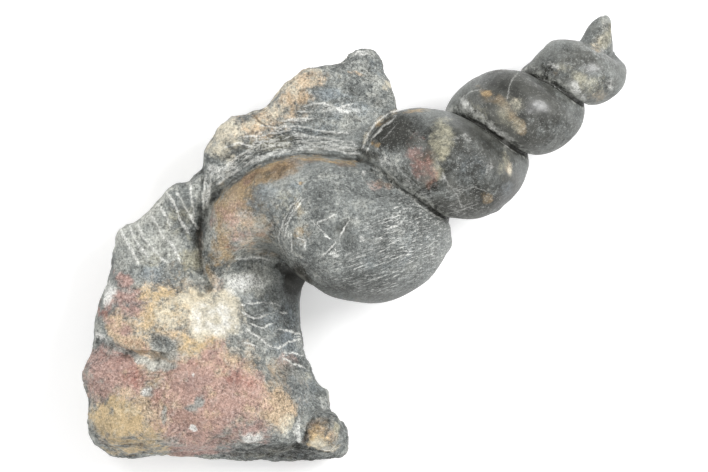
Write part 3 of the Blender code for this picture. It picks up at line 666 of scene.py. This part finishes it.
def sculpt(mesh, shape):
    """Trues the whorls to their spiral and cuts the rock's relief, its creases, ribs and steps."""
    noise.seed_set(CHIPS)
    points = vectors_of(mesh.vertices, "co")
    spiral = Spiral(points)
    points = spiral.trued(points)
    places = layout_places(points)
    horn = cover(places, [(250, 205, 44, 26, 1, -40), (225, 240, 18, 34, 1, 10), (290, 200, 26, 30, 1)])
    rugged = cover(places, [(326, 434, 24, 22, 1)])
    share = np.maximum.reduce((horn, rugged, 0.5 * (1 - spiral.rock)))
    points += share[:, None] * (evened(mesh, points, 24) - points)
    set_points(mesh, points)
    normals = vectors_of(mesh.vertex_normals, "vector")
    upward = soft_step((normals[:, 2] + 0.1) / 0.5)
    bend = drift(points, 7, BEND, 1.6)
    wandering = places + bend
    broken = 0.75 + 0.5 * noise_at(points, 3 * MM, WEAR, 2)
    rock = averaged(mesh, spiral.rock, 6)
    rough_whorl = cover(wandering, [(467, 165, 19, 18, 1), (398, 134, 18, 12, 0.5, -30), (556, 70, 14, 7, 0.7, 25)])
    share = np.maximum(rock, 0.45 * rough_whorl) * (1 - 0.72 * horn)
    height = rock_relief(points, shape) * (0.07 + 0.93 * share)
    height -= shape.suture * np.exp(-((spiral.crease / (0.9 * MM)) ** 2)) * (1 - rock)
    knobbly = np.flatnonzero(rugged > 0)
    height[knobbly] += KNOB_RELIEF * rugged[knobbly] * chip_heights(points[knobbly], KNOB_CHIP)
    crust = cover(wandering, STAINS["pink"][:4] + STAINS["yellow"][:4] + STAINS["cream"][:3] + STAINS["peach"][:2])
    height += shape.crust * soft_step((crust - 0.35) / 0.25) * upward
    for lines, ribs, half_width in ((RIBS, 1.3, 2.2), (GROWTH_LINES, 0.8, 1.9), (CHATTER, 0.7, 1.8)):
        height += upward * line_relief(wandering, lines, ribs * shape.rib, half_width, broken)
    crest, side, _ = nearest_line(places, CREST)
    near_crest = np.where(side < 0, 1, 0) * soft_step(1.6 - crest / 26) * soft_step(crest / 6)
    height += upward * near_crest * 0.18 * MM * np.sin(2 * math.pi * (crest + 2 * bend[:, 0]) / 5.6)
    height -= upward * line_relief(places, [CREST, CREST_END], 0.8 * MM, 1.9)
    height -= upward * line_relief(wandering, [CREVICE[:-1]], 0.6 * MM, 1.8)
    height -= upward * line_relief(wandering, CRACKS, 0.5 * MM, 1.3, broken)
    for drop, reach, corners in STEPS:
        gap, side, _ = nearest_line(wandering, corners)
        height -= upward * drop * MM * (soft_step(0.5 + side * gap / 3.2) * soft_step(1.4 - gap / reach))
    for x, y, level, radius, bump in BUMPS:
        away = np.linalg.norm(points - stone_point(x, y, level * MM), axis=1)
        height += bump * MM * np.exp(-((away / (radius * MM)) ** 2))
    resting = (points[:, 2] < 0.6 * MM) & (normals[:, 2] < -0.8)
    points = points + normals * height[:, None]
    for x, y, level, facing, reach in CUTS:
        outward = np.array(Vector(facing).normalized())
        over = np.maximum((points - stone_point(x, y, level * MM)) @ outward, 0)
        near = soft_step(2.2 - 1.2 * np.hypot(places[:, 0] - x, places[:, 1] - y) / reach)
        points -= (CUT_SHARE * over * near)[:, None] * outward
    points[resting, 2] = 0
    points[:, 2] = np.maximum(points[:, 2], 0)
    low, high = (np.array(corner) for corner in SOLID_BOX)
    set_points(mesh, np.clip(points, low, high))


def keep(mesh, name, values):
    """Stores one value for each point of the mesh, for the material to read."""
    layer = mesh.attributes.new(name, "FLOAT", "POINT")
    layer.data.foreach_set("value", values.astype(np.float32))


def stain(mesh):
    """Works out where each stain, chalk line, crack and polish lies, and keeps it on the mesh."""
    points = vectors_of(mesh.vertices, "co")
    normals = vectors_of(mesh.vertex_normals, "vector")
    places = layout_places(points)
    spiral = Spiral(points)
    coarse = drift(points, 11, COARSE, 5)
    wandering = places + coarse + drift(points, 2.6, FINE, 1.8)
    facing = soft_step((normals[:, 2] + 0.08) / 0.4)
    rock = averaged(mesh, spiral.rock, 4)
    clouds = [noise_at(points, size * MM, seed) for seed, size in enumerate(CLOUD_SIZES, CLOUDS)]
    for seed, (name, patches) in enumerate(STAINS.items(), BEHIND):
        behind = soft_step((noise_at(points, 16 * MM, seed) - 0.18) / 0.5) * 0.6 * rock
        uneven = 1 + 0.5 * clouds[seed % 5] + 0.5 * clouds[(seed + 1) % 5]
        keep(mesh, name, cover(wandering, patches) * facing * uneven + behind * (1 - facing))
    level_places = places + 0.6 * coarse
    keep(mesh, "tone", averaged(mesh, blended(level_places, np.full(len(points), 0.55), TONES), 4))
    keep(mesh, "mottle", averaged(mesh, blended(level_places, 0.45 + 0.95 * rock, MOTTLES), 4))
    # Each sort of line with its half width on the layout and its strength.
    chalk = [
        (RIBS, 0.9, 0.64), (GROWTH_LINES, 0.7, 0.5), (CHATTER, 0.7, 0.75),
        (SCRATCHES[:8], 0.5, 0.65), (SCRATCHES[8:], 0.34, 0.28),
    ]
    # Real fissures, and dark lines along the crest and the crevice that paint the shade in those grooves.
    cracks_and_crease_shade = [(CRACKS, 0.7, 0.65), ([CREST, CREST_END], 0.9, 0.65), ([CREVICE], 0.5, 0.6)]
    bend = drift(points, 7, BEND, 1.6)
    for name, sorts in (("chalk", chalk), ("crack_and_crease_shade", cracks_and_crease_shade)):
        lines = [line for sort, _, _ in sorts for line in sort]
        drawn = np.array([(width, strength) for sort, width, strength in sorts for _ in sort])
        gap, side, which = nearest_line(places + bend, *lines)
        keep(mesh, name + "_side", np.clip(side * gap, -6, 6))
        keep(mesh, name + "_gap", np.where(facing > 0.5, np.minimum(gap, 6), 6))
        keep(mesh, name + "_width", drawn[which, 0])
        keep(mesh, name + "_strength", drawn[which, 1])
    hollow = (normals * (evened(mesh, points, 6) - points)).sum(axis=1)
    keep(mesh, "hollow", averaged(mesh, hollow / MM, 1))
    keep(mesh, "crease", averaged(mesh, np.maximum(spiral.crease / MM, 4 * soft_step((rock - 0.3) / 0.4)), 3))
    keep(mesh, "rock", rock)
    keep(mesh, "polish", cover(places + 0.5 * coarse, POLISH) * (1 - rock))
    keep(mesh, "scrapes", cover(wandering, SCRAPES) * facing)


# ---- the material


class Sheet:
    """A sheet of nodes: each call adds a node, sets its values and links, and gives back the node or its output."""

    def __init__(self, tree):
        self.tree = tree

    def put(self, node, values):
        """Sets or links the inputs of a node."""
        for socket, value in dict(values).items():
            if isinstance(value, bpy.types.NodeSocket):
                self.tree.links.new(value, node.inputs[socket])
            else:
                node.inputs[socket].default_value = value

    def add(self, kind, values=(), **settings):
        node = self.tree.nodes.new("ShaderNode" + kind)
        for name, value in settings.items():
            setattr(node, name, value)
        self.put(node, values)
        return node

    def kept(self, name):
        return self.add("Attribute", attribute_name=name).outputs["Fac"]

    def math(self, operation, *values, clamp=False):
        return self.add("Math", enumerate(values), operation=operation, use_clamp=clamp).outputs[0]

    def plus(self, value, other, clamp=False):
        return self.math("ADD", value, other, clamp=clamp)

    def less(self, value, other):
        return self.math("SUBTRACT", value, other)

    def times(self, value, other):
        return self.math("MULTIPLY", value, other)

    def ramp(self, value, low, high, start=0.0, end=1.0):
        """The value, spread smoothly from start at low to end at high."""
        values = {"Value": value, "From Min": low, "From Max": high, "To Min": start, "To Max": end}
        return self.add("MapRange", values, interpolation_type="SMOOTHSTEP").outputs["Result"]

    def mix(self, share, under, over):
        return self.add("Mix", {0: share, 6: under, 7: over}, data_type="RGBA").outputs[2]

    def noise(self, vector, scale, detail, roughness=0.55):
        values = {"Vector": vector, "Scale": scale, "Detail": detail, "Roughness": roughness}
        return self.add("TexNoise", values).outputs

    def parts(self, colour):
        """The three channels of a colour, each a noise of its own."""
        return self.add("SeparateColor", {"Color": colour}).outputs


def new_group(name, inputs, outputs):
    """An empty node group with these sockets, its sheet, what it is given, and the node for what it makes."""
    group = bpy.data.node_groups.new(name, "ShaderNodeTree")
    for sockets, way in ((inputs, "INPUT"), (outputs, "OUTPUT")):
        for title, kind in sockets.items():
            group.interface.new_socket(title, in_out=way, socket_type="NodeSocket" + kind)
    inside = group.nodes.new("NodeGroupInput")
    outside = group.nodes.new("NodeGroupOutput")
    return group, Sheet(group), inside.outputs, outside


def stain_group():
    """Lays a stain over a colour; its edge breaks up into specks where the cover is thin."""
    group, sheet, given, made = new_group(
        "stain",
        {"Under": "Color", "Stain": "Color", "Cover": "Float", "Speckle": "Float", "Thickness": "Float"},
        {"Color": "Color"},
    )
    share = sheet.ramp(sheet.plus(given["Cover"], given["Speckle"]), 0.15, 1.1)
    share = sheet.times(sheet.times(share, given["Thickness"]), sheet.ramp(given["Cover"], 0.02, 0.35))
    sheet.put(made, {"Color": sheet.mix(share, given["Under"], given["Stain"])})
    return group


def line_group():
    """A thin line where the distance to it is small, worn through here and there."""
    group, sheet, given, made = new_group(
        "thin line",
        {"Side": "Float", "Gap": "Float", "Half Width": "Float", "Wear": "Float", "Wobble": "Float"},
        {"Mask": "Float"},
    )
    wobble = sheet.times(sheet.less(given["Wobble"], 0.5), 6.0)
    width = sheet.times(given["Half Width"], sheet.ramp(given["Wear"], 0.36, 0.54, 0.0, 1.5))
    away = sheet.less(sheet.math("ABSOLUTE", sheet.plus(given["Side"], wobble)), width)
    line = sheet.times(sheet.ramp(away, -0.6, 0.7, 1, 0), sheet.ramp(given["Gap"], 2.4, 3.4, 1, 0))
    sheet.put(made, {"Mask": line})
    return group


def grit_group():
    """Grit of the rock: pale and dark grains, and their height."""
    group, sheet, given, made = new_group(
        "grit",
        {"Position": "Vector", "Scale": "Float"},
        {"Pale": "Float", "Dark": "Float", "Height": "Float"},
    )
    coarse = sheet.noise(given["Position"], given["Scale"], 4.0, 0.72)[0]
    fine = sheet.noise(given["Position"], sheet.times(given["Scale"], 2.3), 3.0, 0.7)[0]
    mixed = sheet.plus(sheet.times(coarse, 0.55), sheet.times(fine, 0.45))
    pale, dark = sheet.ramp(mixed, 0.54, 0.62), sheet.ramp(mixed, 0.38, 0.45, 1, 0)
    sheet.put(made, {"Pale": pale, "Dark": dark, "Height": mixed})
    return group


def stone_material(colours):
    """Grey limestone with its crusts, stains, chalk lines, cracks, grit and polish."""
    stone = bpy.data.materials.new("fossil stone")
    stone.use_nodes = True
    sheet = Sheet(stone.node_tree)
    kept, plus, less, times, ramp, mix = sheet.kept, sheet.plus, sheet.less, sheet.times, sheet.ramp, sheet.mix
    shader = stone.node_tree.nodes["Principled BSDF"]
    position = sheet.add("TexCoord").outputs["Object"]
    solid = {name: (*getattr(colours, name), 1.0) for name in colours.__annotations__}

    grit = sheet.add("Group", {"Position": position, "Scale": GRIT_SCALE}, node_tree=grit_group())
    pale, dark, height = (grit.outputs[name] for name in ("Pale", "Dark", "Height"))
    clouds = sheet.parts(sheet.noise(position, CLOUD_SCALE, 5.0, 0.65)["Color"])
    specks = sheet.parts(sheet.noise(position, SPECK_SCALE, 6.0, 0.8)["Color"])

    rock = kept("rock")
    mottling = plus(less(clouds[0], 0.5), less(specks[1], 0.5))
    tone = plus(kept("tone"), times(mottling, kept("mottle")), clamp=True)
    greys = sheet.add("ValToRGB", {"Fac": tone})
    greys.color_ramp.elements[0].color = solid["shadow_grey"]
    greys.color_ramp.elements[1].color = solid["light_grey"]
    greys.color_ramp.elements.new(0.5).color = solid["middle_grey"]
    colour = solid["bare"] = greys.outputs["Color"]

    # The stains from the lowest up, each with the channel that speckles it and its thickness.
    stains = stain_group()
    breaking = ramp(rock, 0, 1, 1.5, 1.8)
    for name, part, thickness in (
        ("blue", 0, 0.55), ("peach", 0, 0.85), ("ochre", 2, 0.75), ("brown", 1, 0.65),
        ("olive", 2, 0.72), ("yellow", 0, 0.85), ("pink", 1, 0.85), ("red", 2, 0.7),
        ("cream", 1, 0.85), ("bare", 0, 0.9), ("dark", 2, 0.82), ("white", 0, 0.85),
    ):
        speckle = times(less(plus(specks[part], clouds[(part + 1) % 3]), 1.0), breaking)
        values = {"Under": colour, "Stain": solid[name], "Cover": kept(name), "Speckle": speckle}
        colour = sheet.add("Group", values | {"Thickness": thickness}, node_tree=stains).outputs["Color"]

    # Scrape marks in two directions, pale and dark.
    for turn, length, width, strength in ((20, 6.0, 0.6, 0.85), (8, 3.0, 0.45, 0.65)):
        values = {
            "Vector": position, "Rotation": (0, 0, math.radians(turn)), "Scale": (length * MM, width * MM, 3 * MM),
        }
        scrape = sheet.noise(sheet.add("Mapping", values, vector_type="TEXTURE").outputs[0], 1.0, 4.0, 0.75)[0]
        for low, high, start, end, pigment, share in ((0.54, 0.66, 0, 1, "white", 1), (0.36, 0.48, 1, 0, "dark", 0.45)):
            mark = times(ramp(scrape, low, high, start, end), kept("scrapes"))
            colour = mix(times(mark, strength * share), colour, solid[pigment])

    # Chalk lines are white; the dark lines are the fissures and the painted shade along the crest and the crevice.
    lines = line_group()
    for name, pigment in (("chalk", "white"), ("crack_and_crease_shade", "dark")):
        values = {"Side": kept(name + "_side"), "Gap": kept(name + "_gap")}
        values |= {"Half Width": kept(name + "_width"), "Wear": clouds[2], "Wobble": specks[2]}
        mask = sheet.add("Group", values, node_tree=lines).outputs["Mask"]
        colour = mix(times(mask, kept(name + "_strength")), colour, solid[pigment])

    # The grit darkens and lightens everything, but less so on the chalky crusts.
    chalky = sheet.math("MAXIMUM", kept("cream"), kept("yellow"))
    chalky = sheet.math("MAXIMUM", chalky, times(kept("pink"), 0.55))
    gain = times(less(height, 0.5), ramp(rock, 0, 1, 4.4, 5.4))
    facets = less(plus(clouds[1], specks[0]), 1.0)
    gain = plus(gain, times(facets, ramp(rock, 0, 1, 0.6, 1.3)))
    gain = times(gain, ramp(chalky, 0.3, 1.0, 1.0, 0.55))
    gain = sheet.math("MAXIMUM", plus(gain, 1.0), 0.3)
    colour = sheet.add("VectorMath", {0: colour, "Scale": gain}, operation="SCALE").outputs[0]
    grains = ramp(kept("mottle"), 0.3, 1.6, 0.04, 0.3)
    colour = mix(times(pale, grains), colour, solid["white"])
    colour = mix(times(dark, plus(grains, 0.06)), colour, solid["dark"])
    # Darker in the hollows and paler on the ridges.
    hollow = kept("hollow")
    hollow_darkening = times(ramp(hollow, 0.04, 0.3), 0.6)
    worn = times(ramp(hollow, -0.3, -0.04, 1, 0), 0.4)
    colour = mix(worn, mix(hollow_darkening, colour, solid["dark"]), solid["light_grey"])

    # Dust lies along both sides of a crease, and the crease itself is painted dark as its shade.
    crease = plus(kept("crease"), times(less(specks[2], 0.5), 1.6))
    dust = times(ramp(crease, 1.2, 1.7), ramp(crease, 2.0, 3.4, 1, 0))
    dust = times(dust, ramp(specks[1], 0.45, 0.6, 0.0, 0.7))
    colour = mix(dust, colour, solid["light_grey"])
    colour = mix(ramp(crease, 0.4, 1.5, 0.95, 0.0), colour, solid["dark"])

    polish = kept("polish")
    roughness = plus(ramp(specks[0], 0.3, 0.7, 0.5, 0.68), times(rock, 0.2))
    depth = times(height, ramp(rock, 0, 1, 0.18, 1.0))
    bump = sheet.add("Bump", {"Height": depth, "Strength": 0.55, "Distance": 0.5 * MM})
    sheet.put(shader, {
        "Base Color": colour,
        "Roughness": less(roughness, times(polish, 0.26)),
        "Coat Weight": times(polish, 0.6),
        "Coat Roughness": 0.2,
        "Normal": bump.outputs["Normal"],
    })
    return stone


class FOSSIL_OT_stone(bpy.types.Operator):
    """Sculpt the stone over the packed solid, stain it and give it its material"""

    bl_idname = "fossil.stone"
    bl_label = "Fossil Stone"
    bl_options = {"REGISTER", "UNDO"}

    def execute(self, context):
        shape = context.scene.fossil_shape
        stone = even_stone("fossil_stone", shape.voxel)
        sculpt(stone.data, shape)
        ratio = min(1.0, shape.triangles / (2 * len(stone.data.polygons)))
        apply_modifier(stone, "DECIMATE", ratio=ratio, use_collapse_triangulate=True)
        bpy.ops.object.shade_smooth()
        stain(stone.data)
        stone.data.materials.clear()
        stone.data.materials.append(stone_material(context.scene.fossil_colours))
        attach(stone, "root")
        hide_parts("fossil_mold")
        return {"FINISHED"}


def floor_material(glow):
    """Matt white paper on a lit table, with the faintest clouds in it."""
    paper = bpy.data.materials.new("white paper")
    paper.use_nodes = True
    sheet = Sheet(paper.node_tree)
    shader = paper.node_tree.nodes["Principled BSDF"]
    clouds = sheet.noise(sheet.add("TexCoord").outputs["Object"], 6.0, 2.0)[0]
    colour = sheet.mix(clouds, (0.93, 0.93, 0.935, 1), (0.95, 0.95, 0.95, 1))
    light = {"Emission Color": (1, 1, 1, 1), "Emission Strength": glow}
    sheet.put(shader, {"Base Color": colour, "Roughness": 0.9} | light)
    return paper


def lamp(name, place, side, power):
    """A large soft lamp that looks at the middle of the stone."""
    aim = Vector((0, 0, 0.02)) - Vector(place)
    bpy.ops.object.light_add(type="AREA", location=place, rotation=aim.to_track_quat("-Z", "Y").to_euler())
    light = bpy.context.object
    light.name = name
    light.data.shape = "DISK"
    light.data.size = side
    light.data.energy = power


class FOSSIL_OT_stage(bpy.types.Operator):
    """Lay the white floor, hang the soft lamps and set the camera over the stone"""

    bl_idname = "fossil.stage"
    bl_label = "Table, Light and View"
    bl_options = {"REGISTER", "UNDO"}

    def execute(self, context):
        scene = context.scene
        stage = scene.fossil_stage
        bpy.ops.object.select_all(action="DESELECT")
        bpy.ops.mesh.primitive_plane_add(size=stage.floor_size, location=(0, 0, 0))
        floor = context.object
        floor.name = "floor"
        floor.data.materials.append(floor_material(stage.glow))
        floor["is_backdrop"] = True
        lamp("key lamp", *KEY_LAMP, stage.key)
        lamp("side lamp", *SIDE_LAMP, stage.side)
        sky = bpy.data.worlds.new("soft sky")
        sky.use_nodes = True
        light = {"Color": (1, 1, 1, 1), "Strength": stage.sky}
        Sheet(sky.node_tree).put(sky.node_tree.nodes["Background"], light)
        scene.world = sky
        scene.view_settings.view_transform = "Standard"
        bpy.ops.object.camera_add(location=(0, BOX_SHIFT[1], EYE_HEIGHT), rotation=(0, 0, 0))
        camera = context.object
        camera.data.sensor_width = SENSOR
        camera.data.lens = SENSOR * (EYE_HEIGHT - LAYOUT_HEIGHT) / (2 * GRID_MIDDLE[0] * GRID)
        camera.data.clip_start = 0.01
        scene.camera = camera
        return {"FINISHED"}


class FOSSIL_PT_panel(bpy.types.Panel):
    """Lists what can be built and the values that can be changed"""

    bl_idname = "FOSSIL_PT_panel"
    bl_label = "Fossil Snail Mold"
    bl_space_type = "VIEW_3D"
    bl_region_type = "UI"
    bl_category = "Fossil"

    def draw(self, context):
        scene = context.scene
        self.layout.operator("fossil.stage")
        self.layout.operator("fossil.stone")
        for group in (scene.fossil_shape, scene.fossil_colours, scene.fossil_stage):
            column = self.layout.column(heading=type(group).__doc__)
            for name in group.__annotations__:
                column.prop(group, name)


SETTINGS = {"fossil_shape": FossilShape, "fossil_colours": FossilColours, "fossil_stage": FossilStage}
CLASSES = (*SETTINGS.values(), FOSSIL_OT_stone, FOSSIL_OT_stage, FOSSIL_PT_panel)


def register():
    for made in CLASSES:
        bpy.utils.register_class(made)
    for name, group in SETTINGS.items():
        setattr(bpy.types.Scene, name, bpy.props.PointerProperty(type=group))


def unregister():
    for name in SETTINGS:
        delattr(bpy.types.Scene, name)
    for made in reversed(CLASSES):
        bpy.utils.unregister_class(made)


def main():
    register()
    bpy.ops.fossil.stage()
    bpy.ops.fossil.stone()
    boxes = {"cad": SOLID_BOX, "visual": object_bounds()}
    {name: [list(corner) for corner in box] for name, box in boxes.items()}


if __name__ == "__main__":
    main()
